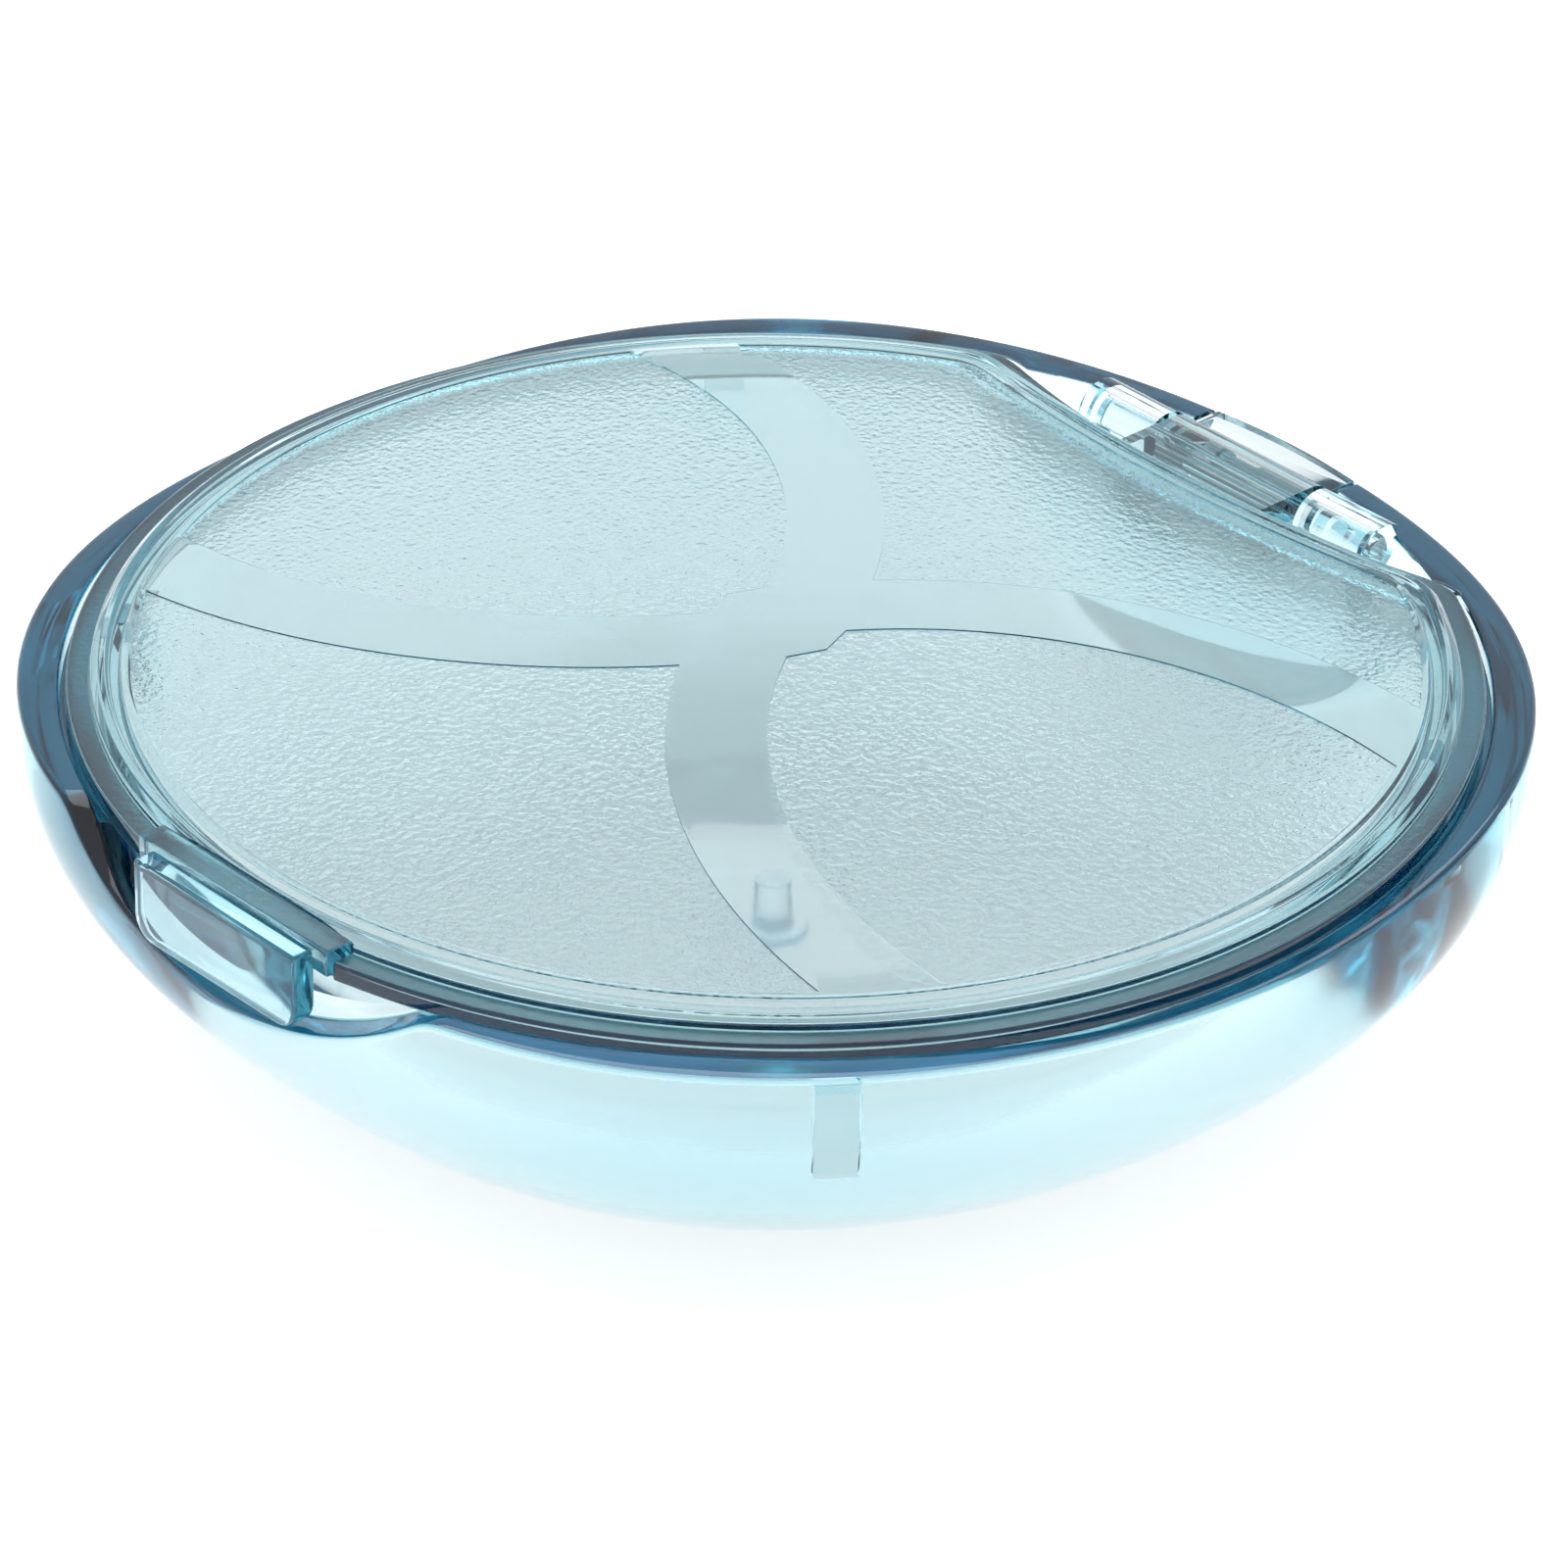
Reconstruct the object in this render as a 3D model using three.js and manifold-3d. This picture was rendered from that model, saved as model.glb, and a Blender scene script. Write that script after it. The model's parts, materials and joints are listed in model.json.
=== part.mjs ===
// A round pocket pill box in clear aqua plastic: a thick-walled bowl, a low-crowned lid, a thumb tab
// on the lid's front edge and two stub pins that carry the lid at the back.
// Millimetres, +Z up, hinge towards +Y, thumb tab towards -Y. The origin is the centre of the foot.
import * as THREE from "three";
import { mergeVertices } from "three/addons/utils/BufferGeometryUtils.js";
import Module from "manifold-3d";

const wasm = await Module();
wasm.setup();

// Driving dimensions. A name ending in DEPTH is measured down from the edge of the lid's top face.
const HEIGHT = 20.7;
const LID_CROWN = 1.8; // how far the middle of the lid's top face stands above its edge
const GAP = 0.3; // running clearance between neighbouring pieces
const ROUND_STEPS = 72; // facets in a full turn
const SMALL_ROUND_STEPS = 24; // facets in a full turn of a bar or a nub
const OUTLINE_STEPS = 120; // facets round the lid
const CORNER_STEPS = 5; // facets round a corner
const SIDE_STEPS = 11; // facets up the side of the bowl

// Bowl, outside
const RIM_RADIUS = 38; // on the diagonals, where the outline is widest
const SIDE_FLATTENING = 1.4; // how much the outline draws in on the X axis
const BACK_FLATTENING = 1.6; // how much the outline draws in on the Y axis
const SIDE_DROP = 0.7; // how much the rim sinks on the X axis
const RIM_DEPTH = 1.1;
const RIM_EDGE = 0.4; // rounding of the rim's outer edge
const BAND_DEPTH = 3.1; // lower end of the upright band under the rim
const FOOT_RADIUS = 13;

// Bowl, inside
const DISH_FLAT_RADIUS = 14;
const DISH_RADIUS = 33.9;
const DISH_TOP_DEPTH = 1;
const FLOOR_THICKNESS = 1.9;
const SEAT_RADIUS = 35.8; // recess that the lid's flange drops into
const SEAT_DEPTH = 2.05;
const SEAT_BACK_GAP = 0.55; // room behind the lid's back edge as it swings up
const RIB_ANGLES = [37.5, 142.5, 217.5, 322.5]; // degrees from +X
const RIB_WIDTH = 2.1;
const RIB_FACE_RADIUS = 32;
const RIB_ROOT_RADIUS = 34.6;
const RIB_TOP_DEPTH = 3.6;
const RIB_END_DEPTH = 8.6;
const NUB_RADIUS = 0.95;
const NUB_HEIGHT = 3;
const NUB_PAD_RADIUS = 1.8;
const NUB_PAD_HEIGHT = 0.35;

// Finger scoop under the thumb tab
const SCOOP_DEPTH = 5.5;
const SCOOP_RADIUS = 24;
const SCOOP_WALL_RADIUS = 34.6; // the wall that stays behind the scoop

// Hinge
const HINGE_Y = 32.7;
const HINGE_DEPTH = 2;
const KNUCKLE_RADIUS = 1.7;
const PIN_RADIUS = 0.8;
const PIN_INNER_X = 1.2;
const PIN_OUTER_X = 9.8;
const EAR_INNER_X = 5.5;
const EAR_OUTER_X = 10.5;
const LUG_HALF_WIDTH = 5.1;
const LUG_ROOT_Y = 28;
const WALL_INNER_Y = 27.2; // the wall that closes the dish off from the hinge
const WALL_OUTER_Y = 29.4;
const BACK_HOLLOW = 0.008; // the wall and the lid's back edge run at y + BACK_HOLLOW x^2
const POCKET_RADIUS = 34.9;
const POCKET_HALF_WIDTH = 15.5;
const POCKET_DEPTH = 6;
const WEB_INNER_X = 12.6;
const WEB_OUTER_X = 13.4;
const WEB_DEPTH = 3.5;
const NOTCH_HALF_WIDTH = 5.4; // opening in the back wall that the lug's lip swings down through
const NOTCH_DEPTH = 5.9;
const LIP_RADIUS = 36.3; // the lip closes the notch while the lid is shut
const LIP_THICKNESS = 1;

// Lid
const PANEL_RADIUS = 34.3;
const FLANGE_RADIUS = 35.45;
const FLANGE_WIDTH = 3.5;
const FLANGE_Y = 29.2; // middle of the lid's back edge
const FLANGE_DEPTH = 0.7;
const LID_THICKNESS = 1.75;
const LID_CORNER = 1.1; // rounding where the round edge meets the back edge
const SKIRT_RADIUS = 33.5;
const SKIRT_THICKNESS = 1;
const SKIRT_BACK_Y = 26.8;
const SKIRT_DEPTH = 3.2;
const SKIRT_OVERLAP = 0.5; // how far the skirt runs up into the lid

// Thumb tab
const TAB_HALF_WIDTH = 7.1;
const TAB_INNER_Y = -33.5;
const TAB_OUTER_Y = -35.1;
const TAB_DEPTH = 1.45;
const PLATE_HALF_WIDTH = 6.05;
const PLATE_INNER_Y = -34.95;
const PLATE_OUTER_Y = -36.3;
const PLATE_TOP_DEPTH = 0.35;
const PLATE_END_DEPTH = 4.7;
const PLATE_CORNER = 1.4;

const UNDERCUT = 1; // how far a cut or a join runs past the face it starts from

const aqua = new THREE.MeshStandardMaterial({ color: 0x8fd0dc, roughness: 0.12, metalness: 0 });
const deepAqua = new THREE.MeshStandardMaterial({ color: 0x4e9db4, roughness: 0.1, metalness: 0 });

// A closed geometry as a solid that can be joined and cut.
function toSolid(geometry) {
  const bare = geometry.clone();
  bare.deleteAttribute("normal");
  bare.deleteAttribute("uv");
  const merged = mergeVertices(bare, 1e-4);
  const corners = merged.index.array;
  const triVerts = [];
  for (let i = 0; i < corners.length; i += 3) {
    const [a, b, c] = corners.slice(i, i + 3);
    if (a !== b && b !== c && c !== a) triVerts.push(a, b, c);
  }
  return new wasm.Manifold(new wasm.Mesh({
    numProp: 3,
    vertProperties: merged.attributes.position.array,
    triVerts: new Uint32Array(triVerts),
  }));
}

// A solid back as a geometry with its own flat faces.
function toGeometry(solid) {
  const mesh = solid.getMesh();
  const geometry = new THREE.BufferGeometry();
  geometry.setAttribute("position", new THREE.BufferAttribute(mesh.vertProperties, 3));
  geometry.setIndex(new THREE.BufferAttribute(mesh.triVerts, 1));
  geometry.computeVertexNormals();
  return geometry;
}

function namedMesh(name, solid, material) {
  const mesh = new THREE.Mesh(toGeometry(solid), material);
  mesh.name = name;
  return mesh;
}

const atDepth = (depth) => HEIGHT - LID_CROWN - depth;

// A solid box between two opposite corners.
function block(low, high) {
  const size = new THREE.Vector3().subVectors(high, low);
  const box = new THREE.BoxGeometry(size.x, size.y, size.z);
  box.translate((low.x + high.x) / 2, (low.y + high.y) / 2, (low.z + high.z) / 2);
  return toSolid(box);
}

const corner = (x, y, z) => new THREE.Vector3(x, y, z);

// A stretch of the X axis on the left (-1) or right (1) side, lower end first.
const spanX = (side, fromX, toX) => [side * fromX, side * toX].sort((a, b) => a - b);

// Points of an arc, angles in degrees, the last point included.
function arc(centreX, centreY, radiusX, radiusY, from, to, steps) {
  const points = [];
  for (let i = 0; i <= steps; i++) {
    const angle = THREE.MathUtils.degToRad(from + ((to - from) * i) / steps);
    const x = centreX + radiusX * Math.cos(angle);
    const y = centreY + radiusY * Math.sin(angle);
    points.push(new THREE.Vector2(x, y));
  }
  return points;
}

// A profile of (radius, height) points, turned about the Z axis.
function turned(profile) {
  const lathe = new THREE.LatheGeometry(profile, ROUND_STEPS);
  lathe.rotateX(Math.PI / 2);
  return lathe;
}

// A round bar along X.
function barAlongX(radius, fromX, toX, y, z) {
  const bar = new THREE.CylinderGeometry(radius, radius, toX - fromX, SMALL_ROUND_STEPS);
  bar.rotateZ(Math.PI / 2);
  bar.translate((fromX + toX) / 2, y, z);
  return toSolid(bar);
}

// An upright round post about the Z axis.
function post(radius, lowZ, highZ, steps = ROUND_STEPS) {
  const cylinder = new THREE.CylinderGeometry(radius, radius, highZ - lowZ, steps);
  cylinder.rotateX(Math.PI / 2);
  cylinder.translate(0, 0, (lowZ + highZ) / 2);
  return toSolid(cylinder);
}

// The smaller of two lengths, with the corner between them rounded.
function softMin(a, b) {
  const near = Math.max(LID_CORNER - Math.abs(a - b), 0);
  return Math.min(a, b) - (near * near) / (4 * LID_CORNER);
}

// How far from the Z axis the hollow back edge lies in one direction.
function backEdgeRadius(backY, angle) {
  const rise = Math.sin(angle);
  const spread = rise ** 2 - 4 * BACK_HOLLOW * backY * Math.cos(angle) ** 2;
  return rise > 0 && spread > 0 ? (2 * backY) / (rise + Math.sqrt(spread)) : Infinity;
}

// The lid's outline at some offset: a circle with a hollow back edge and rounded corners.
function lidOutline(radius, backY) {
  const points = [];
  for (let i = 0; i < OUTLINE_STEPS; i++) {
    const angle = (2 * Math.PI * i) / OUTLINE_STEPS;
    const reach = softMin(radius, backEdgeRadius(backY, angle));
    points.push(new THREE.Vector2(reach * Math.cos(angle), reach * Math.sin(angle)));
  }
  return points;
}

// Everything behind a hollow line at some y, out to a half width.
function behindLine(y, halfWidth, lowZ, highZ) {
  const line = [];
  for (let i = 0; i <= SIDE_STEPS; i++) {
    const x = halfWidth * ((2 * i) / SIDE_STEPS - 1);
    line.push(new THREE.Vector2(x, y + BACK_HOLLOW * x * x));
  }
  const backY = RIM_RADIUS + 2 * UNDERCUT;
  const corners = [new THREE.Vector2(halfWidth, backY), new THREE.Vector2(-halfWidth, backY)];
  return slab([...line, ...corners], lowZ, highZ);
}

// An outline in the XY plane, made solid between two heights.
function slab(outline, lowZ, highZ) {
  const shape = new THREE.Shape(outline);
  const extruded = new THREE.ExtrudeGeometry(shape, { depth: highZ - lowZ, bevelEnabled: false });
  extruded.translate(0, 0, lowZ);
  return toSolid(extruded);
}

// Draws the outline in on the X and Y axes and lowers the rim on the X axis, more and more from the
// foot outwards.
function squareOff(geometry) {
  const positions = geometry.attributes.position;
  for (let i = 0; i < positions.count; i++) {
    const x = positions.getX(i);
    const y = positions.getY(i);
    const radius = Math.hypot(x, y);
    const reach = Math.max(0, radius - FOOT_RADIUS) / (RIM_RADIUS - FOOT_RADIUS);
    const angle = Math.atan2(y, x);
    const onAxis = Math.cos(2 * angle) ** 2 * reach;
    const onSide = onAxis * Math.cos(angle) ** 2;
    const drawnIn = SIDE_FLATTENING * onSide + BACK_FLATTENING * (onAxis - onSide);
    const scale = radius > 0 ? 1 - drawnIn / radius : 1;
    const z = positions.getZ(i) - SIDE_DROP * onSide * (positions.getZ(i) / HEIGHT);
    positions.setXYZ(i, x * scale, y * scale, z);
  }
}

// The bowl with nothing taken out of it.
function bowlBlank() {
  const bandZ = atDepth(BAND_DEPTH);
  const rimZ = atDepth(RIM_DEPTH);
  const edgeX = RIM_RADIUS - RIM_EDGE;
  const profile = [
    new THREE.Vector2(0, 0),
    ...arc(FOOT_RADIUS, bandZ, RIM_RADIUS - FOOT_RADIUS, bandZ, -90, 0, SIDE_STEPS),
    ...arc(edgeX, rimZ - RIM_EDGE, RIM_EDGE, RIM_EDGE, 0, 90, 2),
    new THREE.Vector2(0, rimZ),
  ];
  const blank = turned(profile);
  squareOff(blank);
  return toSolid(blank);
}

// The dish that holds the pills, closed at the back by the hollow wall.
function dishHollow() {
  const centreZ = atDepth(DISH_TOP_DEPTH);
  const span = DISH_RADIUS - DISH_FLAT_RADIUS;
  const fall = centreZ - FLOOR_THICKNESS;
  const seatTurn = THREE.MathUtils.radToDeg(Math.asin((SEAT_DEPTH - DISH_TOP_DEPTH) / fall));
  const side = arc(DISH_FLAT_RADIUS, centreZ, span, fall, -90, -seatTurn, SIDE_STEPS);
  const mouth = side[side.length - 1].x;
  const profile = [
    new THREE.Vector2(0, FLOOR_THICKNESS),
    ...side,
    new THREE.Vector2(mouth, HEIGHT + UNDERCUT),
    new THREE.Vector2(0, HEIGHT + UNDERCUT),
  ];
  const behindWall = behindLine(WALL_INNER_Y, DISH_RADIUS, 0, HEIGHT + 2 * UNDERCUT);
  return toSolid(turned(profile)).subtract(behindWall);
}

function lidSeat() {
  const outline = lidOutline(SEAT_RADIUS, FLANGE_Y + SEAT_BACK_GAP);
  return slab(outline, atDepth(SEAT_DEPTH), HEIGHT + UNDERCUT);
}

// The open pocket behind the hollow wall, with a web left standing near each end.
function hingePocket() {
  const floorZ = atDepth(POCKET_DEPTH);
  const room = behindLine(WALL_OUTER_Y, POCKET_HALF_WIDTH, floorZ, HEIGHT + UNDERCUT);
  let pocket = room.intersect(post(POCKET_RADIUS, 0, HEIGHT + 2 * UNDERCUT));
  for (const side of [-1, 1]) {
    const xs = spanX(side, WEB_INNER_X, WEB_OUTER_X);
    const web = block(
      corner(xs[0], WALL_OUTER_Y - UNDERCUT, floorZ - UNDERCUT),
      corner(xs[1], RIM_RADIUS, atDepth(WEB_DEPTH)),
    );
    pocket = pocket.subtract(web);
  }
  return pocket;
}

function rimNotch() {
  return block(
    corner(-NOTCH_HALF_WIDTH, HINGE_Y, atDepth(NOTCH_DEPTH)),
    corner(NOTCH_HALF_WIDTH, RIM_RADIUS + UNDERCUT, HEIGHT + UNDERCUT),
  );
}

// The finger scoop: a shallow round bite out of the front wall, clear of the dish.
function fingerScoop() {
  const bite = new THREE.CylinderGeometry(SCOOP_RADIUS, SCOOP_RADIUS, RIM_RADIUS, ROUND_STEPS);
  bite.translate(0, -RIM_RADIUS, atDepth(SCOOP_DEPTH) + SCOOP_RADIUS);
  return toSolid(bite).subtract(post(SCOOP_WALL_RADIUS, 0, HEIGHT + 2 * SCOOP_RADIUS));
}

// One hinge ear, standing on the pocket's floor.
function hingeEar(side) {
  const hingeZ = atDepth(HINGE_DEPTH);
  const xs = spanX(side, EAR_INNER_X, EAR_OUTER_X);
  const foot = block(
    corner(xs[0], HINGE_Y - KNUCKLE_RADIUS, atDepth(POCKET_DEPTH) - UNDERCUT),
    corner(xs[1], HINGE_Y + KNUCKLE_RADIUS, hingeZ),
  );
  const knuckle = barAlongX(KNUCKLE_RADIUS, xs[0], xs[1], HINGE_Y, hingeZ);
  return foot.add(knuckle).intersect(post(POCKET_RADIUS + GAP, 0, HEIGHT));
}

// The blind hole that one stub pin goes into.
function earBore(side) {
  const xs = spanX(side, EAR_INNER_X - GAP, PIN_OUTER_X + GAP);
  return barAlongX(PIN_RADIUS + GAP, xs[0], xs[1], HINGE_Y, atDepth(HINGE_DEPTH));
}

function wallRib(angle) {
  const rib = new THREE.BoxGeometry(
    RIB_ROOT_RADIUS - RIB_FACE_RADIUS,
    RIB_WIDTH,
    RIB_END_DEPTH - RIB_TOP_DEPTH,
  );
  const middleDepth = (RIB_END_DEPTH + RIB_TOP_DEPTH) / 2;
  rib.translate((RIB_ROOT_RADIUS + RIB_FACE_RADIUS) / 2, 0, atDepth(middleDepth));
  rib.rotateZ(THREE.MathUtils.degToRad(angle));
  return toSolid(rib);
}

function floorNub() {
  const rootZ = FLOOR_THICKNESS - UNDERCUT;
  const padZ = FLOOR_THICKNESS + NUB_PAD_HEIGHT;
  const nub = post(NUB_RADIUS, rootZ, FLOOR_THICKNESS + NUB_HEIGHT, SMALL_ROUND_STEPS);
  return nub.add(post(NUB_PAD_RADIUS, rootZ, padZ, SMALL_ROUND_STEPS));
}

function baseBowl() {
  let bowl = bowlBlank();
  for (const hollow of [dishHollow(), lidSeat(), hingePocket(), rimNotch(), fingerScoop()]) {
    bowl = bowl.subtract(hollow);
  }
  for (const addition of [hingeEar(-1), hingeEar(1), ...RIB_ANGLES.map(wallRib), floorNub()]) {
    bowl = bowl.add(addition);
  }
  return bowl.subtract(earBore(-1)).subtract(earBore(1));
}

function hingePin(side) {
  const xs = spanX(side, PIN_INNER_X, PIN_OUTER_X);
  return barAlongX(PIN_RADIUS, xs[0], xs[1], HINGE_Y, atDepth(HINGE_DEPTH));
}

// A ring between the lid's outline and the same outline drawn in by its width.
function lidRing(radius, backY, width, lowZ, highZ) {
  const outer = slab(lidOutline(radius, backY), lowZ, highZ);
  const inner = lidOutline(radius - width, backY - width);
  return outer.subtract(slab(inner, lowZ - UNDERCUT, highZ + UNDERCUT));
}

// The crowned sheet of the lid, as wide as its panel.
function lidPanel() {
  const crown = (radius) => LID_CROWN * (1 - (radius / PANEL_RADIUS) ** 2);
  const top = [];
  for (let i = 0; i <= SIDE_STEPS; i++) {
    const radius = (FLANGE_RADIUS * i) / SIDE_STEPS;
    top.push(new THREE.Vector2(radius, atDepth(0) + crown(radius)));
  }
  const bottom = top.map((point) => new THREE.Vector2(point.x, point.y - LID_THICKNESS));
  const sheet = toSolid(turned([...bottom, ...top.reverse()]));
  const step = FLANGE_RADIUS - PANEL_RADIUS;
  return sheet.intersect(slab(lidOutline(PANEL_RADIUS, FLANGE_Y - step), 0, HEIGHT + UNDERCUT));
}

// The lug at the back of the lid, bored right through for the two stub pins, with the lip behind it.
function lidLug() {
  const hingeZ = atDepth(HINGE_DEPTH);
  const arm = block(
    corner(-LUG_HALF_WIDTH, LUG_ROOT_Y, atDepth(LID_THICKNESS)),
    corner(LUG_HALF_WIDTH, HINGE_Y, hingeZ + KNUCKLE_RADIUS),
  );
  const knuckle = barAlongX(KNUCKLE_RADIUS, -LUG_HALF_WIDTH, LUG_HALF_WIDTH, HINGE_Y, hingeZ);
  const lip = block(
    corner(-LUG_HALF_WIDTH, HINGE_Y, atDepth(RIM_DEPTH + LIP_THICKNESS)),
    corner(LUG_HALF_WIDTH, RIM_RADIUS, atDepth(RIM_DEPTH)),
  );
  const roundedLip = lip.intersect(post(LIP_RADIUS, 0, HEIGHT));
  const bore = barAlongX(PIN_RADIUS + GAP, -EAR_INNER_X, EAR_INNER_X, HINGE_Y, hingeZ);
  return arm.add(knuckle).add(roundedLip).subtract(bore);
}

function lid() {
  const lowZ = atDepth(LID_THICKNESS);
  const flange = lidRing(FLANGE_RADIUS, FLANGE_Y, FLANGE_WIDTH, lowZ, atDepth(FLANGE_DEPTH));
  const skirtTop = atDepth(LID_THICKNESS - SKIRT_OVERLAP);
  const skirt = lidRing(SKIRT_RADIUS, SKIRT_BACK_Y, SKIRT_THICKNESS, atDepth(SKIRT_DEPTH), skirtTop);
  const tabRoom = block(
    corner(-TAB_HALF_WIDTH - GAP, -RIM_RADIUS, lowZ),
    corner(TAB_HALF_WIDTH + GAP, TAB_INNER_Y + GAP, HEIGHT + UNDERCUT),
  );
  return lidPanel().add(flange).add(skirt).add(lidLug()).subtract(tabRoom);
}

// The thumb tab: a bar along the lid's front edge with a plate hanging from it.
function thumbTab() {
  const bar = block(
    corner(-TAB_HALF_WIDTH, TAB_OUTER_Y, atDepth(TAB_DEPTH)),
    corner(TAB_HALF_WIDTH, TAB_INNER_Y, atDepth(0)),
  );
  const cornerX = PLATE_HALF_WIDTH - PLATE_CORNER;
  const cornerZ = atDepth(PLATE_END_DEPTH - PLATE_CORNER);
  const outline = [
    new THREE.Vector2(PLATE_HALF_WIDTH, atDepth(PLATE_TOP_DEPTH)),
    new THREE.Vector2(-PLATE_HALF_WIDTH, atDepth(PLATE_TOP_DEPTH)),
    ...arc(-cornerX, cornerZ, PLATE_CORNER, PLATE_CORNER, 180, 270, CORNER_STEPS),
    ...arc(cornerX, cornerZ, PLATE_CORNER, PLATE_CORNER, 270, 360, CORNER_STEPS),
  ];
  const plate = new THREE.ExtrudeGeometry(new THREE.Shape(outline), {
    depth: PLATE_INNER_Y - PLATE_OUTER_Y,
    bevelEnabled: false,
  });
  plate.rotateX(Math.PI / 2);
  plate.translate(0, PLATE_INNER_Y, 0);
  return bar.add(toSolid(plate));
}

const group = new THREE.Group();
group.add(namedMesh("base_bowl", baseBowl(), aqua));
group.add(namedMesh("hinge_pin_left", hingePin(-1), deepAqua));
group.add(namedMesh("hinge_pin_right", hingePin(1), deepAqua));
group.add(namedMesh("lid", lid(), aqua));
group.add(namedMesh("thumb_tab", thumbTab(), deepAqua));

export default group;
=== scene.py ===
import json
import math

import bmesh
import bpy
import numpy as np
from mathutils import Matrix, Vector


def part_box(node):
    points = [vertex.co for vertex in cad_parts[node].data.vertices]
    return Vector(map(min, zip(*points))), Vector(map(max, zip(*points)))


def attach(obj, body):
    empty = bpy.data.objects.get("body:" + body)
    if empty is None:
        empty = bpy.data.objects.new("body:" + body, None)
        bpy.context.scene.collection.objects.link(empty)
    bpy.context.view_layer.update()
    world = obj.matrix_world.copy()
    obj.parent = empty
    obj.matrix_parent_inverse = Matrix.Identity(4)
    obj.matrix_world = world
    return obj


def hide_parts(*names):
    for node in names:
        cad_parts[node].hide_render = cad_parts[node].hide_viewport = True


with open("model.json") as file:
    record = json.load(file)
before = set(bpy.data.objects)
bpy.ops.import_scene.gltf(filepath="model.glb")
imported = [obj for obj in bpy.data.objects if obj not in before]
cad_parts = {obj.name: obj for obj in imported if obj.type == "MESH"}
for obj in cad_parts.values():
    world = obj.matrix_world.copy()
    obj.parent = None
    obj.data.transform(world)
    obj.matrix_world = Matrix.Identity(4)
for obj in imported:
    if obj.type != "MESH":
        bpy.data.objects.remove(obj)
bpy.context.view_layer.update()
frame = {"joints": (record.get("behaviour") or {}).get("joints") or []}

# The bowl, lid, thumb tab and hinge pins of a clear aqua pill box, as fine meshes around the CAD frame.
# Sizes are in millimetres until a mesh is made. "depth" is measured down from the edge of the lid's top.
MM = 0.001

hinge = frame["joints"][0]
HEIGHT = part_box("lid")[1].z / MM
HINGE_Y = hinge["pos_m"][1] / MM
HINGE_Z = hinge["pos_m"][2] / MM

LID_CROWN = 1.8
LID_EDGE_Z = HEIGHT - LID_CROWN
BACK_HOLLOW = 0.008  # the lid's back edge and the wall under it run at y + BACK_HOLLOW x^2

# Roundings of the moulded corners, from the softest to the sharpest
FILLET = 0.5
WIDE_EDGE = 0.3
SOFT_EDGE = 0.25
EDGE = 0.2
FIRM_EDGE = 0.15
THIN_EDGE = 0.12
FINE_EDGE = 0.1
KEEN_EDGE = 0.08
CRISP_EDGE = 0.05
SHARP_EDGE = 0.02

# Bowl, outside
RIM_RADIUS = 37.98
SIDE_FLATTENING = 1.4
BACK_FLATTENING = 1.6
SIDE_DROP = 0.7
RIM_DEPTH = 1.1
RIM_EDGE = 0.4
RIM_SHOULDER = 0.45  # the points up the side end this far under the rim
BAND_DEPTH = 3.1
FOOT_RADIUS = 13.0
FOOT_RINGS = (0.0, 0.5, 0.96)  # rings of points on the foot, as shares of its radius

# Bowl, inside
DISH_FLAT_RADIUS = 14.0
DISH_RADIUS = 33.9
DISH_TOP_DEPTH = 1.0
DISH_LIP = 0.3
FLOOR_THICKNESS = 1.9
SEAT_RADIUS = 35.8
SEAT_DEPTH = 2.05
SEAT_BACK_GAP = 0.5
SEAT_RING = 0.15
WALL_BLEND = 0.9
RIB_ANGLES = (37.5, 142.5, 217.5, 322.5)
RIB_WIDTH = 2.1
RIB_FACE_RADIUS = 32.0
RIB_TOP_DEPTH = 3.6
RIB_END_DEPTH = 8.6
NUB_RADIUS = 0.92
NUB_HEIGHT = 3.0
NUB_ROOT = 0.5
NUB_DIMPLE = 0.3
PAD_RADIUS = 1.8
PAD_HEIGHT = 0.4
PAD_DRAFT = 0.1
PAD_FALL = 0.05

# Finger scoop
SCOOP_DEPTH = 5.5
SCOOP_RADIUS = 24.0
SCOOP_REACH = 0.9  # how much of the scoop's radius is used to either side
SCOOP_BLEND = 0.6
SCOOP_WALL_RADIUS = 34.6
SCOOP_LEDGE = 1.0
SCOOP_FALL = 0.1

# Hinge pocket
WALL_INNER_Y = 27.2
WALL_OUTER_Y = 29.4
POCKET_RADIUS = 34.9
POCKET_DEPTH = 6.0
POCKET_END = math.radians(64.5)
WEB_INNER_X = 12.6
WEB_OUTER_X = 13.4
WEB_DEPTH = 3.5
WEB_ROOT = 0.4
WEB_END_GAP = 1.7
NOTCH_HALF_WIDTH = 5.35
NOTCH_DEPTH = 5.9
EAR_INNER_X = 5.5
EAR_OUTER_X = 10.5
EAR_ROOT = 0.6
EAR_OVERLAP = 0.25
KNUCKLE_RADIUS = 1.7
PIN_RADIUS = 0.8
PIN_INNER_X = 1.2
PIN_OUTER_X = 9.8
PIN_CHAMFER = 0.15
BORE_GAP = 0.08
BORE_END_GAP = 0.2

# Lid
PANEL_RADIUS = 34.28
PANEL_EDGE_DROP = 0.3
BEAD_FOOT = 1.0  # the low bead round the panel, measured in from the panel's edge
BEAD_INNER = 0.8
BEAD_OUTER = 0.45
GROOVE_DEPTH = 0.12
FLANGE_RADIUS = 35.45
FLANGE_Y = 29.2
FLANGE_DEPTH = 0.7
LID_THICKNESS = 1.75
LID_CORNER = 1.1
SKIRT_RADIUS = 33.5
SKIRT_BACK_Y = 26.8
SKIRT_THICKNESS = 1.0
SKIRT_DEPTH = 3.2
SKIRT_DRAFT = 0.05
SKIRT_FILLET = 0.6
LUG_HALF_WIDTH = 5.1
LUG_ROOT_Y = 27.8
LUG_NECK = 1.2
LUG_START = math.radians(-140)
LUG_TURN = math.radians(230)
LUG_BORE_END = 6
LIP_RADIUS = 36.3
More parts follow.
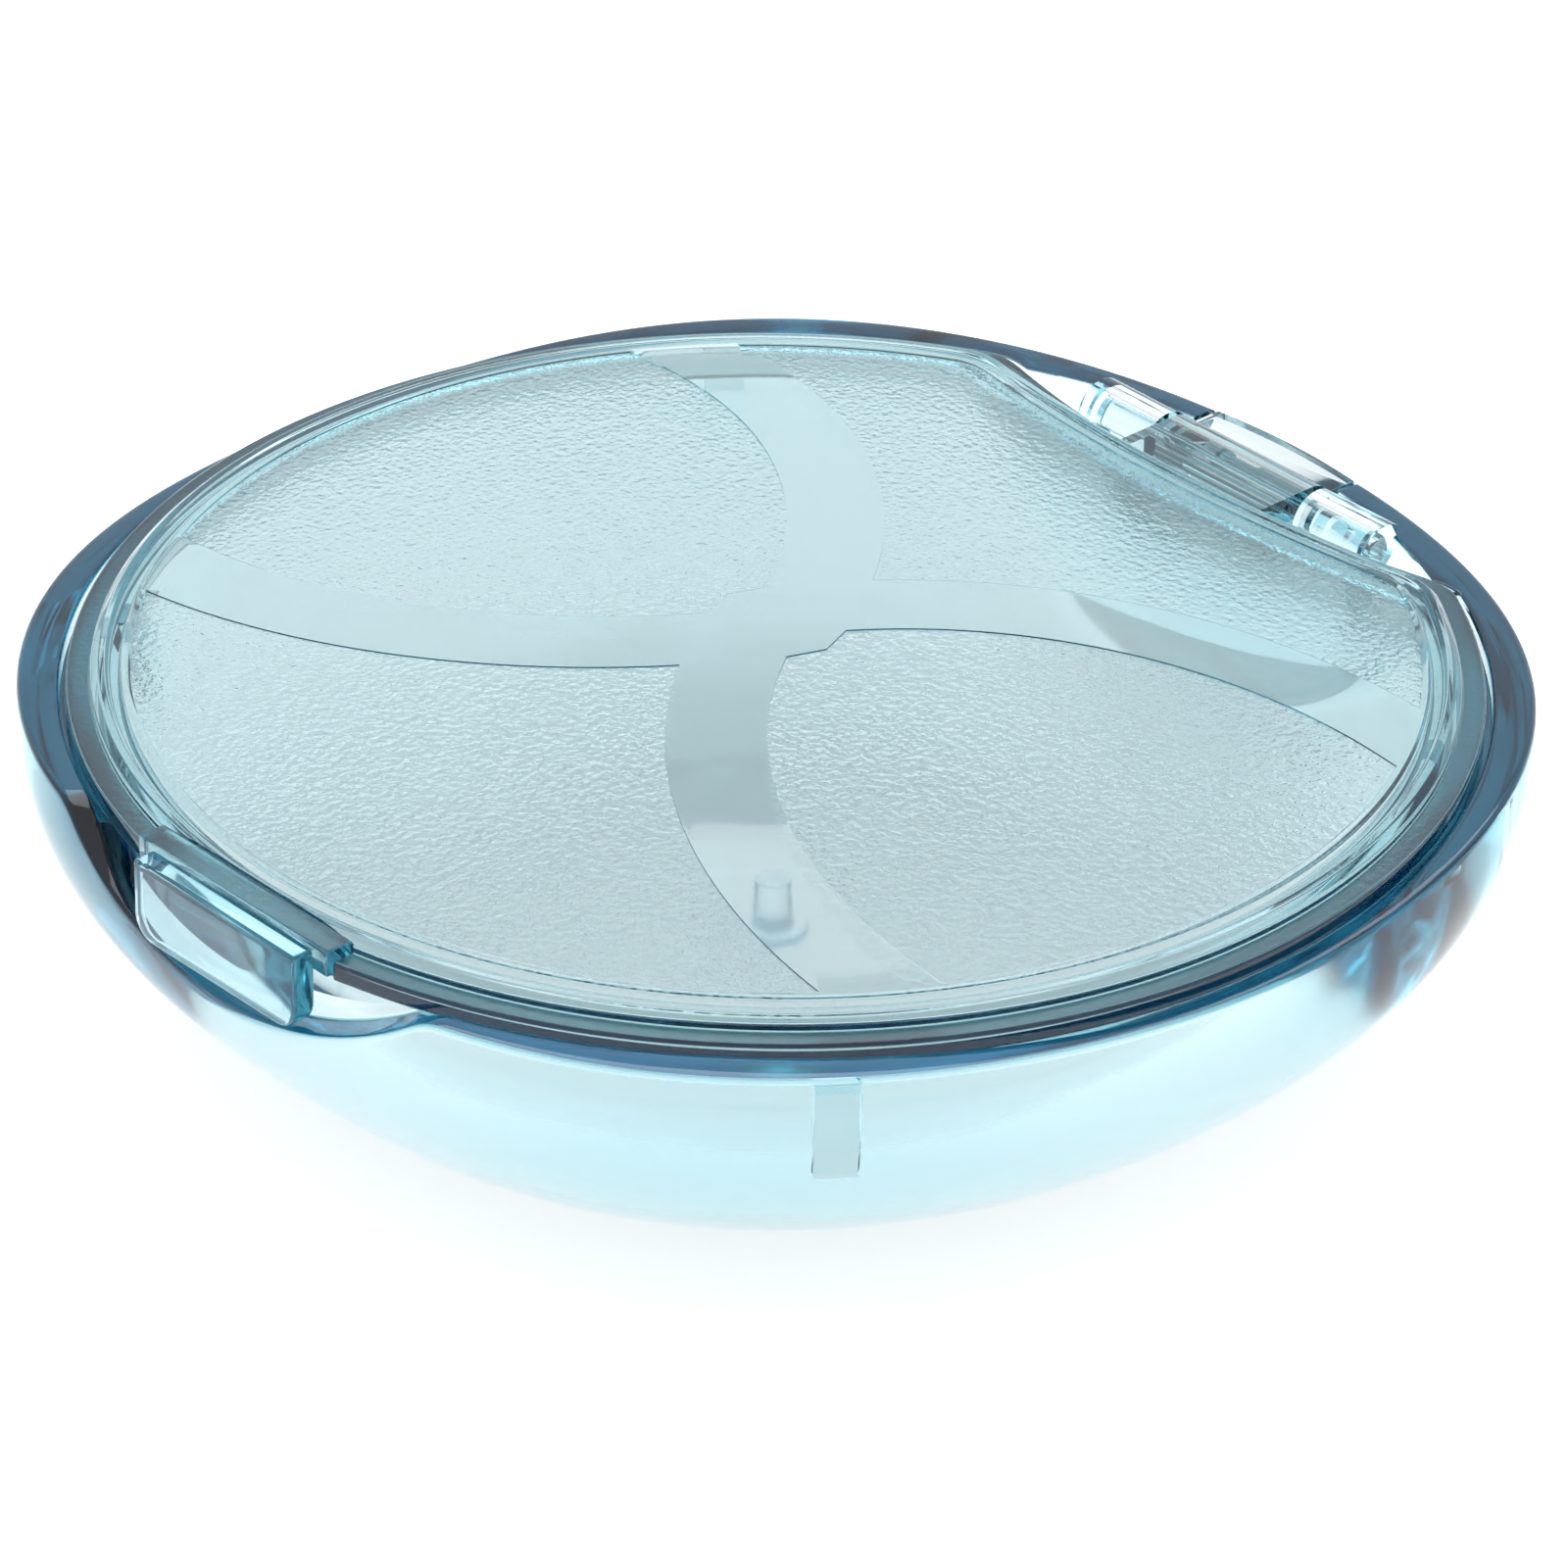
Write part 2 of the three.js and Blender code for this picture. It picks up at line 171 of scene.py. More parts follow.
LIP_THICKNESS = 1.0
DOME_STEPS = 16

# Moulded grain on the lid, in four wedges with smooth bands between them
GRAIN_RADIUS = 32.2
GRAIN_BACK_Y = 26.3
GRAIN_DEPTH = 0.08
GRAIN_BORDER = 0.25
SATIN_GRAIN = 0.5  # grain on the satin faces, as a share of the panel's
WIDE_ARC = (27.0, -13.34, 33.5)  # centre and radius of the wedges' sides towards the Y axis
NARROW_ARC = (27.33, -13.94, 29.17)  # the same towards the X axis
WEDGE_CORNER_X = 2.9
WEDGE_NOTCH_X = 3.65
ARC_STEPS = 48

# Thumb tab
TAB_HALF_WIDTH = 7.1
TAB_INNER_Y = -33.5
TAB_OUTER_Y = -35.1
TAB_DEPTH = 1.45
TAB_ROOM_GAP = 0.04
PLATE_HALF_WIDTH = 6.05
PLATE_INNER_Y = -34.95
PLATE_OUTER_Y = -36.3
PLATE_TOP_DEPTH = 0.35
PLATE_END_DEPTH = 4.7
PLATE_CORNER = 1.4
PLATE_CORNER_STEPS = 12
PLATE_EDGE = 0.22

# Fineness of the meshes
COLUMNS = 720
COLUMN_GAP = math.radians(0.08)
SIDE_STEPS = 64
CORNER_STEPS = 4
CORNER_SHARE = 0.48  # the most of a profile's side that one corner's rounding may take
BEVEL_STEPS = 3
BAR_STEPS = 48
EAR_STEPS = 24
LUG_STEPS = 32
POST_STEPS = 240
BEVEL_ANGLE = math.radians(60)
SHARP_ANGLE = math.radians(32)

# Working lengths that leave no mark on a shape
CLEAR = 2  # how far a cutting solid runs past what it cuts
FAR_OUT = 1000.0  # a radius that is never reached
FACES_UP = 0.9  # a face whose normal has more Z than this counts as facing up
LEVEL_MARGIN = 0.05  # how far from a level a face's middle may be and still count as on it
GRAIN_MARGIN = 0.4 * GRAIN_DEPTH


def at_depth(depth):
    return LID_EDGE_Z - depth


# Shapes ------------------------------------------------------------------------------------------


def soft_min(a, b, blend):
    """The smaller of two lengths, with the corner between them rounded over `blend`."""
    near = max(blend - abs(a - b), 0.0) / blend
    return min(a, b) - near * near * blend / 4


def unit_or_zero(vector):
    length = np.linalg.norm(vector)
    return (vector / length, length) if length > 1e-9 else (np.zeros(2), 0.0)


def rounded(corners):
    """Points along a profile of (radius, height, rounding) corners; an unrounded corner is one point."""
    places = [np.array(corner[:2], float) for corner in corners]
    points = []
    for i, (place, corner) in enumerate(zip(places, corners)):
        if corner[2] == 0:
            points.append(tuple(place))
            continue
        back, back_length = unit_or_zero(places[max(i - 1, 0)] - place)
        onward, onward_length = unit_or_zero(places[min(i + 1, len(places) - 1)] - place)
        reach = min(corner[2], CORNER_SHARE * back_length, CORNER_SHARE * onward_length)
        start = place + back * reach
        end = place + onward * reach
        for step in range(CORNER_STEPS + 1):
            t = step / CORNER_STEPS
            points.append(tuple((1 - t) ** 2 * start + 2 * t * (1 - t) * place + t * t * end))
    return points


def column_angles(extra=()):
    """Even angles round the turn, with a close pair at each angle where the shape changes at once."""
    angles = list(np.linspace(0, 2 * math.pi, COLUMNS, endpoint=False))
    for angle in extra:
        angles = [a for a in angles if abs(a - angle) > 2 * COLUMN_GAP]
        angles += [angle - COLUMN_GAP, angle + COLUMN_GAP]
    return sorted(angles)


def in_scene(name, data):
    made = bpy.data.objects.new(name, data)
    bpy.context.scene.collection.objects.link(made)
    return made


def mesh_object(name, points, faces):
    mesh = bpy.data.meshes.new(name)
    mesh.from_pydata([Vector(p) * MM for p in points], [], faces)
    mesh.update()
    return in_scene(name, mesh)


def turned(name, profile_at, angles):
    """A closed mesh from one (radius, height) profile per angle; a profile starts and ends on the axis."""
    profiles = [profile_at(angle) for angle in angles]
    rings = len(profiles[0]) - 2
    points = [(0, 0, profiles[0][0][1]), (0, 0, profiles[0][-1][1])]
    for angle, profile in zip(angles, profiles):
        for radius, height in profile[1:-1]:
            points.append((radius * math.cos(angle), radius * math.sin(angle), height))
    faces = []
    for i in range(len(angles)):
        here = 2 + i * rings
        after = 2 + ((i + 1) % len(angles)) * rings
        faces.append((0, after, here))
        for ring in range(rings - 1):
            faces.append((here + ring, after + ring, after + ring + 1, here + ring + 1))
        faces.append((1, here + rings - 1, after + rings - 1))
    made = mesh_object(name, points, faces)
    face_outwards(made)
    return made


def face_outwards(made):
    shape = bmesh.new()
    shape.from_mesh(made.data)
    bmesh.ops.recalc_face_normals(shape, faces=shape.faces)
    if shape.calc_volume(signed=True) < 0:
        bmesh.ops.reverse_faces(shape, faces=shape.faces)
    shape.to_mesh(made.data)
    shape.free()


def prism(name, outline, low_z, high_z):
    """An upright solid on a counter-clockwise outline."""
    count = len(outline)
    points = [(x, y, low_z) for x, y in outline] + [(x, y, high_z) for x, y in outline]
    faces = [tuple(reversed(range(count))), tuple(range(count, 2 * count))]
    for i in range(count):
        after = (i + 1) % count
        faces.append((i, after, count + after, count + i))
    return mesh_object(name, points, faces)


def upright_post(name, radius, high_z):
    turns = [2 * math.pi * i / POST_STEPS for i in range(POST_STEPS)]
    return prism(name, [(radius * math.cos(turn), radius * math.sin(turn)) for turn in turns], 0, high_z)


def slab(name, outline, axis, low, high):
    """A solid between two copies of an outline, at `low` and `high` along axis 0 (X) or 1 (Y)."""
    count = len(outline)
    points = [(*pair[:axis], end, *pair[axis:]) for end in (low, high) for pair in outline]
    faces = [tuple(range(count)), tuple(reversed(range(count, 2 * count)))]
    faces += [(i, count + i, count + (i + 1) % count, (i + 1) % count) for i in range(count)]
    made = mesh_object(name, points, faces)
    face_outwards(made)
    return made


def on_circle(across, up, radius, turn):
    """The point of an upright circle at this turn from the horizontal."""
    return across + radius * math.cos(turn), up + radius * math.sin(turn)


def rounded_block(name, low, high, radius, segments=BEVEL_STEPS):
    """A box between two corners with all its edges rounded."""
    shape = bmesh.new()
    bmesh.ops.create_cube(shape, size=1)
    for vertex in shape.verts:
        for axis in range(3):
            middle = (low[axis] + high[axis]) / 2
            vertex.co[axis] = (middle + vertex.co[axis] * (high[axis] - low[axis])) * MM
    bmesh.ops.bevel(
        shape, geom=shape.edges[:], offset=radius * MM, segments=segments, profile=0.5, affect="EDGES"
    )
    mesh = bpy.data.meshes.new(name)
    shape.to_mesh(mesh)
    shape.free()
    return in_scene(name, mesh)


def bar_along_x(name, radius, from_x, to_x, chamfer=0.0):
    """A round bar on the hinge's axis; its ends are chamfered if a chamfer is given."""
    stations = [(from_x, radius - chamfer), (from_x + chamfer, radius)]
    stations += [(to_x - chamfer, radius), (to_x, radius - chamfer)]
    if chamfer == 0:
        stations = [(from_x, radius), (to_x, radius)]
    points = []
    for x, r in stations:
        for i in range(BAR_STEPS):
            points.append((x, *on_circle(HINGE_Y, HINGE_Z, r, 2 * math.pi * i / BAR_STEPS)))
    faces = [tuple(range(BAR_STEPS)), tuple(reversed(range(len(points) - BAR_STEPS, len(points))))]
    for ring in range(len(stations) - 1):
        for i in range(BAR_STEPS):
            after = (i + 1) % BAR_STEPS
            low, high = ring * BAR_STEPS, (ring + 1) * BAR_STEPS
            faces.append((low + i, high + i, high + after, low + after))
    made = mesh_object(name, points, faces)
    face_outwards(made)
    return made


def combine(target, tool, operation, solver="MANIFOLD"):
    """Joins, cuts or intersects target with tool, and removes tool."""
    modifier = target.modifiers.new("combine", "BOOLEAN")
    modifier.operation = operation
    modifier.object = tool
    modifier.solver = solver
    bpy.context.view_layer.update()
    graph = bpy.context.evaluated_depsgraph_get()
    result = bpy.data.meshes.new_from_object(target.evaluated_get(graph))
    target.modifiers.clear()
    target.data = result
    bpy.data.objects.remove(tool)


def finish_piece(made, material):
    """Gives a piece its one material, and smooth shading that stays sharp along real edges."""
    made.data.materials.clear()
    made.data.materials.append(material)
    made.data.shade_smooth()
    made.data.set_sharp_from_angle(angle=SHARP_ANGLE)


# Bowl --------------------------------------------------------------------------------------------


def squared_off(radius, height, angle):
    """A point of the bowl's outside, drawn in and lowered towards the axes as in the CAD model."""
    reach = max(0.0, radius - FOOT_RADIUS) / (RIM_RADIUS - FOOT_RADIUS)
    share = math.cos(2 * angle) ** 2 * reach
    side_share = share * math.cos(angle) ** 2
    drawn_in = SIDE_FLATTENING * side_share + BACK_FLATTENING * (share - side_share)
    return radius - drawn_in, height - SIDE_DROP * side_share * height / HEIGHT


def scoop_height(angle):
    """Height of the scoop's floor at this angle; far above the rim away from the thumb tab."""
    x = RIM_RADIUS * math.cos(angle)
    if math.sin(angle) > 0 or abs(x) > SCOOP_RADIUS * SCOOP_REACH:
        return 2 * HEIGHT
    return at_depth(SCOOP_DEPTH) + SCOOP_RADIUS - math.sqrt(SCOOP_RADIUS**2 - x * x)


def bowl_outside(angle, top):
    """Points up the bowl's outside from the middle of the foot to the height `top`, or to the band."""
    band = at_depth(BAND_DEPTH)
    span = RIM_RADIUS - FOOT_RADIUS
    end = math.asin(min(0.0, (top - band) / band)) if top < band else 0.0
    points = [(FOOT_RADIUS * share, 0.0) for share in FOOT_RINGS]
    for step in range(SIDE_STEPS + 1):
        turn = -math.pi / 2 + (end + math.pi / 2) * step / SIDE_STEPS
        radius = FOOT_RADIUS + span * math.cos(turn)
        points.append(squared_off(radius, band + band * math.sin(turn), angle))
    return points


def chord_radius(y, angle):
    """How far out the hollow line at this y is met; very far where it isn't met."""
    rise = math.sin(angle)
    spread = rise**2 - 4 * BACK_HOLLOW * y * math.cos(angle) ** 2
    return 2 * y / (rise + math.sqrt(spread)) if rise > 0 and spread > 0 else FAR_OUT


def dish_side(angle):
    """Points down the dish from its mouth to the middle of its floor."""
    centre = at_depth(DISH_TOP_DEPTH)
    fall = centre - FLOOR_THICKNESS
    span = DISH_RADIUS - DISH_FLAT_RADIUS
    start = math.asin((SEAT_DEPTH + DISH_LIP - DISH_TOP_DEPTH) / fall)
    wall = chord_radius(WALL_INNER_Y, angle)
    points = []
    for step in range(SIDE_STEPS + 1):
        turn = start + (math.pi / 2 - start) * step / SIDE_STEPS
        radius = soft_min(DISH_FLAT_RADIUS + span * math.cos(turn), wall, WALL_BLEND)
        points.append((radius, centre - fall * math.sin(turn)))
    points += [(DISH_FLAT_RADIUS / 2, FLOOR_THICKNESS), (0.0, FLOOR_THICKNESS)]
    return points


def pocket_ledge(angle, top):
    """The corners inside the rim at the hinge: down to the pocket's floor and up to the seat."""
    wall = chord_radius(WALL_OUTER_Y, angle)
    floor = at_depth(POCKET_DEPTH)
    return [
        (POCKET_RADIUS, top, EDGE),
        (POCKET_RADIUS, floor, FILLET),
        (wall, floor, FILLET),
        (wall, at_depth(SEAT_DEPTH), EDGE),
    ]


def scoop_ledge(outer, top):
    """The corners inside the rim at the scoop: along its floor and up to the seat."""
    wall = SCOOP_WALL_RADIUS
    return [
        (outer - SCOOP_LEDGE, top, WIDE_EDGE),
        (wall + SCOOP_FALL, top - SCOOP_FALL, EDGE),
        (wall, top, CRISP_EDGE),
        (wall, at_depth(SEAT_DEPTH), EDGE),
    ]


def seat_ledge(angle, top):
    """The corners inside the rim elsewhere: down to the lid's seat, and two rings on the seat."""
    seat = at_depth(SEAT_DEPTH)
    wall = soft_min(SEAT_RADIUS, chord_radius(FLANGE_Y + SEAT_BACK_GAP, angle), WALL_BLEND)
    return [
        (wall, top, SOFT_EDGE),
        (wall, seat, FINE_EDGE),
        (wall - SEAT_RING, seat, SHARP_EDGE),
        (wall - 2 * SEAT_RING, seat, SHARP_EDGE),
    ]


def bowl_profile(angle):
    """The bowl's section at this angle, up the outside, over the rim and down the dish."""
    rim = squared_off(RIM_RADIUS, at_depth(RIM_DEPTH), angle)[1]
    top = soft_min(rim, scoop_height(angle), SCOOP_BLEND)
    outside = bowl_outside(angle, top - RIM_SHOULDER)
    outer = outside[-1][0] if top < at_depth(BAND_DEPTH) else squared_off(RIM_RADIUS, top, angle)[0]
    if POCKET_END < angle < math.pi - POCKET_END:
        ledge = pocket_ledge(angle, top)
    elif top < at_depth(SEAT_DEPTH):
        ledge = scoop_ledge(outer, top)
    else:
        ledge = seat_ledge(angle, top)
    inside = dish_side(angle)
    over_rim = rounded([
        (*outside[-1], 0),
        (outer, top, RIM_EDGE),
        *ledge,
        (inside[0][0], at_depth(SEAT_DEPTH), FIRM_EDGE),
        (*inside[0], 0),
    ])
    return outside[:-1] + over_rim[:-1] + inside


def rib(angle):
    """One of the short upright ribs on the dish's wall."""
    made = rounded_block(
        "rib",
        (RIB_FACE_RADIUS, -RIB_WIDTH / 2, at_depth(RIB_END_DEPTH)),
        (SCOOP_WALL_RADIUS, RIB_WIDTH / 2, at_depth(RIB_TOP_DEPTH)),
        FIRM_EDGE,
    )
    made.data.transform(Matrix.Rotation(math.radians(angle), 4, "Z"))
    return made


def hinge_ear(side):
    """An ear with a round top, standing on the pocket's floor and run into the ring behind it."""
    root = at_depth(POCKET_DEPTH) - EAR_ROOT
    outline = [(HINGE_Y + KNUCKLE_RADIUS, root), (HINGE_Y + KNUCKLE_RADIUS, HINGE_Z)]
    for step in range(1, EAR_STEPS):
        outline.append(on_circle(HINGE_Y, HINGE_Z, KNUCKLE_RADIUS, math.pi * step / EAR_STEPS))
    outline += [(HINGE_Y - KNUCKLE_RADIUS, HINGE_Z), (HINGE_Y - KNUCKLE_RADIUS, root)]
    made = slab("ear", outline, 0, *sorted((side * EAR_INNER_X, side * EAR_OUTER_X)))
    combine(made, upright_post("ear_trim", POCKET_RADIUS + EAR_OVERLAP, HEIGHT + CLEAR), "INTERSECT")
    return made


def pocket_web(side):
    """A low thin web across one end of the hinge pocket."""
    low, high = sorted((side * WEB_INNER_X, side * WEB_OUTER_X))
    return rounded_block(
        "web",
        (low, WALL_OUTER_Y + WEB_ROOT, at_depth(POCKET_DEPTH) - WEB_ROOT),
        (high, POCKET_RADIUS - WEB_END_GAP, at_depth(WEB_DEPTH)),
        THIN_EDGE,
    )


def nub_profile(_angle):
    base = FLOOR_THICKNESS - NUB_ROOT
    top = FLOOR_THICKNESS + NUB_HEIGHT
    return rounded([
        (0, base, 0),
        (PAD_RADIUS + PAD_DRAFT, base, SHARP_EDGE),
        (PAD_RADIUS, FLOOR_THICKNESS + PAD_HEIGHT - PAD_FALL, FIRM_EDGE),
        (NUB_RADIUS + PAD_DRAFT, FLOOR_THICKNESS + PAD_HEIGHT, FIRM_EDGE),
        (NUB_RADIUS, top, THIN_EDGE),
        (NUB_RADIUS / 2, top - PAD_FALL, EDGE),
        (0, top - NUB_DIMPLE, 0),
    ])


def floor_nub():
    """The gate mark in the middle of the dish: a short post on a low pad."""
    return turned("nub", nub_profile, [2 * math.pi * i / BAR_STEPS for i in range(BAR_STEPS)])


def hinge_notch():
    """The slot in the rim that the lug's lip swings down through."""
    return rounded_block(
        "notch",
        (-NOTCH_HALF_WIDTH, HINGE_Y, at_depth(NOTCH_DEPTH)),
        (NOTCH_HALF_WIDTH, RIM_RADIUS + CLEAR, HEIGHT),
        FIRM_EDGE,
    )


def ear_bore(side):
    low, high = sorted((side * (EAR_INNER_X - BORE_END_GAP), side * (PIN_OUTER_X + BORE_END_GAP)))
    return bar_along_x("bore", PIN_RADIUS + BORE_GAP, low, high)


def make_bowl(material):
    bowl = turned("bowl_shell", bowl_profile, column_angles((POCKET_END, math.pi - POCKET_END)))
    combine(bowl, hinge_notch(), "DIFFERENCE")
    for angle in RIB_ANGLES:
        combine(bowl, rib(angle), "UNION")
    for side in (-1, 1):
        combine(bowl, hinge_ear(side), "UNION")
        combine(bowl, pocket_web(side), "UNION")
    combine(bowl, floor_nub(), "UNION")
    for side in (-1, 1):
        combine(bowl, ear_bore(side), "DIFFERENCE")
    finish_piece(bowl, material)
    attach(bowl, "bowl_body")
    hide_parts("base_bowl")


# Lid ---------------------------------------------------------------------------------------------


def lid_outline(radius, back_y, angle):
    """The lid's outline at this angle: a circle with its back cut off along a hollow line."""
    return soft_min(radius, chord_radius(back_y, angle), LID_CORNER)


def domed(radius, sunk=0.0):
    """A point on the lid's crowned top face, or this far below it."""
    return radius, LID_EDGE_Z + LID_CROWN * (1 - (radius / PANEL_RADIUS) ** 2) - sunk


def dome_steps(radius, sunk=0.0):
    """Points along the crown from the axis out to just short of this radius."""
    return [domed(radius * step / DOME_STEPS, sunk) for step in range(DOME_STEPS)]


def grain_edge(margin, angle):
    return lid_outline(GRAIN_RADIUS + margin, GRAIN_BACK_Y + margin, angle)


def skirt_edge(inset, angle):
    return lid_outline(SKIRT_RADIUS - inset, SKIRT_BACK_Y - inset, angle)


def lid_profile(angle):
    """The lid's section at this angle, out along the top, round the flange and skirt, and back below."""
    def reach(radius):
        """The lid's outline, offset so that its round part has this radius."""
        return lid_outline(radius, FLANGE_Y - (FLANGE_RADIUS - radius), angle)

    under = at_depth(LID_THICKNESS)
    low = at_depth(SKIRT_DEPTH)
    border = grain_edge(GRAIN_BORDER, angle)
    skirt_out = skirt_edge(0, angle)
    skirt_in = skirt_edge(SKIRT_THICKNESS, angle)
    round_edge = rounded([
        (*domed(border), 0),
        (*domed(grain_edge(2 * GRAIN_BORDER, angle), GROOVE_DEPTH), FINE_EDGE),
        (*domed(reach(PANEL_RADIUS - BEAD_FOOT), GROOVE_DEPTH), FINE_EDGE),
        (*domed(reach(PANEL_RADIUS - BEAD_INNER)), KEEN_EDGE),
        (*domed(reach(PANEL_RADIUS - BEAD_OUTER)), FINE_EDGE),
        (*domed(reach(PANEL_RADIUS), PANEL_EDGE_DROP), FIRM_EDGE),
        (reach(PANEL_RADIUS), at_depth(FLANGE_DEPTH), KEEN_EDGE),
        (reach(FLANGE_RADIUS), at_depth(FLANGE_DEPTH), SOFT_EDGE),
        (reach(FLANGE_RADIUS), under, EDGE),
        (skirt_out, under, FIRM_EDGE),
        (skirt_out - SKIRT_DRAFT, low, SOFT_EDGE),
        (skirt_in, low, SOFT_EDGE),
        (*domed(skirt_in - SKIRT_DRAFT, LID_THICKNESS), WIDE_EDGE),
        (*domed(skirt_in - SKIRT_FILLET, LID_THICKNESS), 0),
    ])
    return dome_steps(border) + round_edge + dome_steps(skirt_in, LID_THICKNESS)[-2::-1]


def arc_height(arc, x):
    """Where an arc's upper half stands at this x."""
    centre_x, centre_y, radius = arc
    return centre_y + math.sqrt(radius**2 - (x - centre_x) ** 2)


def side_wedge(flip):
    """The grain wedge that opens towards the X axis: its upper side, then the same side mirrored."""
    side = [(WEDGE_NOTCH_X, 0.0)]
    for step in range(ARC_STEPS + 1):
        x = WEDGE_CORNER_X + (NARROW_ARC[0] - WEDGE_CORNER_X) * step / ARC_STEPS
        side.append((x, arc_height(NARROW_ARC, x)))
    side.append((FLANGE_RADIUS, arc_height(NARROW_ARC, NARROW_ARC[0])))
    outline = [(x, -y) for x, y in side] + [(x, y) for x, y in side[:0:-1]]
    return [(flip * x, y) for x, y in outline][::flip]


def end_wedge(flip):
    """The grain wedge that opens towards the Y axis."""
    side = []
    for step in range(1, ARC_STEPS + 1):
        x = WIDE_ARC[0] * step / ARC_STEPS
        side.append((x, arc_height(WIDE_ARC, x)))
    side += [(FLANGE_RADIUS, side[-1][1]), (FLANGE_RADIUS, FLANGE_RADIUS)]
    outline = [(0.0, arc_height(WIDE_ARC, 0.0))] + side + [(-x, y) for x, y in side[::-1]]
    return [(x, flip * y) for x, y in outline][::flip]


def grain_floor(angle):
    """The section of a solid whose underside runs GRAIN_DEPTH below the lid's top face."""
    border = grain_edge(0, angle)
    floor = dome_steps(border, GRAIN_DEPTH) + [domed(border, GRAIN_DEPTH)]
    return floor + [(border, HEIGHT + CLEAR), (0.0, HEIGHT + CLEAR)]


def grain_recess(outline):
    """What is cut from the lid for one wedge of grain."""
    recess = turned("grain", grain_floor, column_angles())
    wedge = prism("wedge", outline, LID_EDGE_Z - CLEAR, HEIGHT + 2 * CLEAR)
    combine(recess, wedge, "INTERSECT")
    return recess


def lid_lug():
    """The arm and knuckle that carry the lid on the hinge pins, and the lip behind them."""
    bottom = at_depth(LID_THICKNESS)
    outline = [(LUG_ROOT_Y, bottom), (HINGE_Y - LUG_NECK, bottom)]
    for step in range(LUG_STEPS + 1):
        turn = LUG_START + LUG_TURN * step / LUG_STEPS
        outline.append(on_circle(HINGE_Y, HINGE_Z, KNUCKLE_RADIUS, turn))
    outline.append((LUG_ROOT_Y, HINGE_Z + KNUCKLE_RADIUS))
    made = slab("lug", outline, 0, -LUG_HALF_WIDTH, LUG_HALF_WIDTH)
    lip = rounded_block(
        "lip",
        (-LUG_HALF_WIDTH, HINGE_Y, at_depth(RIM_DEPTH + LIP_THICKNESS)),
        (LUG_HALF_WIDTH, RIM_RADIUS + CLEAR, at_depth(RIM_DEPTH)),
        THIN_EDGE,
    )
    combine(lip, upright_post("lip_edge", LIP_RADIUS, HEIGHT), "INTERSECT")
    combine(made, lip, "UNION", "EXACT")
    return made


def tab_room():
    """The room in the flange for the thumb tab's bar."""
    return rounded_block(
        "tab_room",
        (-TAB_HALF_WIDTH - TAB_ROOM_GAP, -RIM_RADIUS - CLEAR, at_depth(LID_THICKNESS) - SHARP_EDGE),
        (TAB_HALF_WIDTH + TAB_ROOM_GAP, TAB_INNER_Y + TAB_ROOM_GAP, HEIGHT + CLEAR),
        SHARP_EDGE,
        segments=1,
    )


def mark_faces(made, name, amount_at):
    """Stores a number per face, from the face's middle in millimetres and its normal."""
    amounts = [amount_at(face.center / MM, face.normal) for face in made.data.polygons]
    made.data.attributes.new(name, "FLOAT", "FACE").data.foreach_set("value", amounts)


def on_grain(middle, normal):
    radius, floor = domed(middle.xy.length, GRAIN_DEPTH)
    return normal.z > FACES_UP and radius < GRAIN_RADIUS and abs(middle.z - floor) < GRAIN_MARGIN


def on_flange_top(middle, normal):
    return normal.z > FACES_UP and abs(middle.z - at_depth(FLANGE_DEPTH)) < LEVEL_MARGIN


def on_bar_top(middle, normal):
    return normal.z > FACES_UP and middle.z > at_depth(LEVEL_MARGIN)


def make_lid(material):
    lid = turned("lid_panel", lid_profile, column_angles())
    combine(lid, lid_lug(), "UNION", "EXACT")
    combine(lid, tab_room(), "DIFFERENCE", "EXACT")
    bore = bar_along_x("bore", PIN_RADIUS + BORE_GAP, -LUG_BORE_END, LUG_BORE_END)
    combine(lid, bore, "DIFFERENCE", "EXACT")
    for flip in (-1, 1):
        combine(lid, grain_recess(side_wedge(flip)), "DIFFERENCE", "EXACT")
        combine(lid, grain_recess(end_wedge(flip)), "DIFFERENCE", "EXACT")
    mark_faces(lid, "grain", lambda m, n: 1.0 if on_grain(m, n) else SATIN_GRAIN * on_flange_top(m, n))
    # The flange's top face is marked for its satin roughness and for a painted dark teal shade.
    mark_faces(lid, "satin_and_top_shade", lambda m, n: float(on_flange_top(m, n)))
    finish_piece(lid, material)
    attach(lid, "lid_body")
    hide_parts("lid")


# Thumb tab and pins ------------------------------------------------------------------------------


def plate_outline():
    """The hanging plate seen from the front, with round lower corners."""
    low, high = at_depth(PLATE_END_DEPTH), at_depth(PLATE_TOP_DEPTH)
    outline = [(PLATE_HALF_WIDTH, high), (-PLATE_HALF_WIDTH, high)]
    corner_x = PLATE_HALF_WIDTH - PLATE_CORNER
    for centre_x, first in ((-corner_x, 180), (corner_x, 270)):
        for step in range(PLATE_CORNER_STEPS + 1):
            turn = math.radians(first + 90 * step / PLATE_CORNER_STEPS)
            outline.append(on_circle(centre_x, low + PLATE_CORNER, PLATE_CORNER, turn))
    return outline


def tab_plate():
    """The hanging plate, with its front and back edges rounded."""
    made = slab("plate", plate_outline(), 1, PLATE_OUTER_Y, PLATE_INNER_Y)
    shape = bmesh.new()
    shape.from_mesh(made.data)
    around = [edge for edge in shape.edges if edge.calc_face_angle(0) > BEVEL_ANGLE]
    bmesh.ops.bevel(
        shape, geom=around, offset=PLATE_EDGE * MM, segments=BEVEL_STEPS, profile=0.5, affect="EDGES"
    )
    shape.to_mesh(made.data)
    shape.free()
    return made


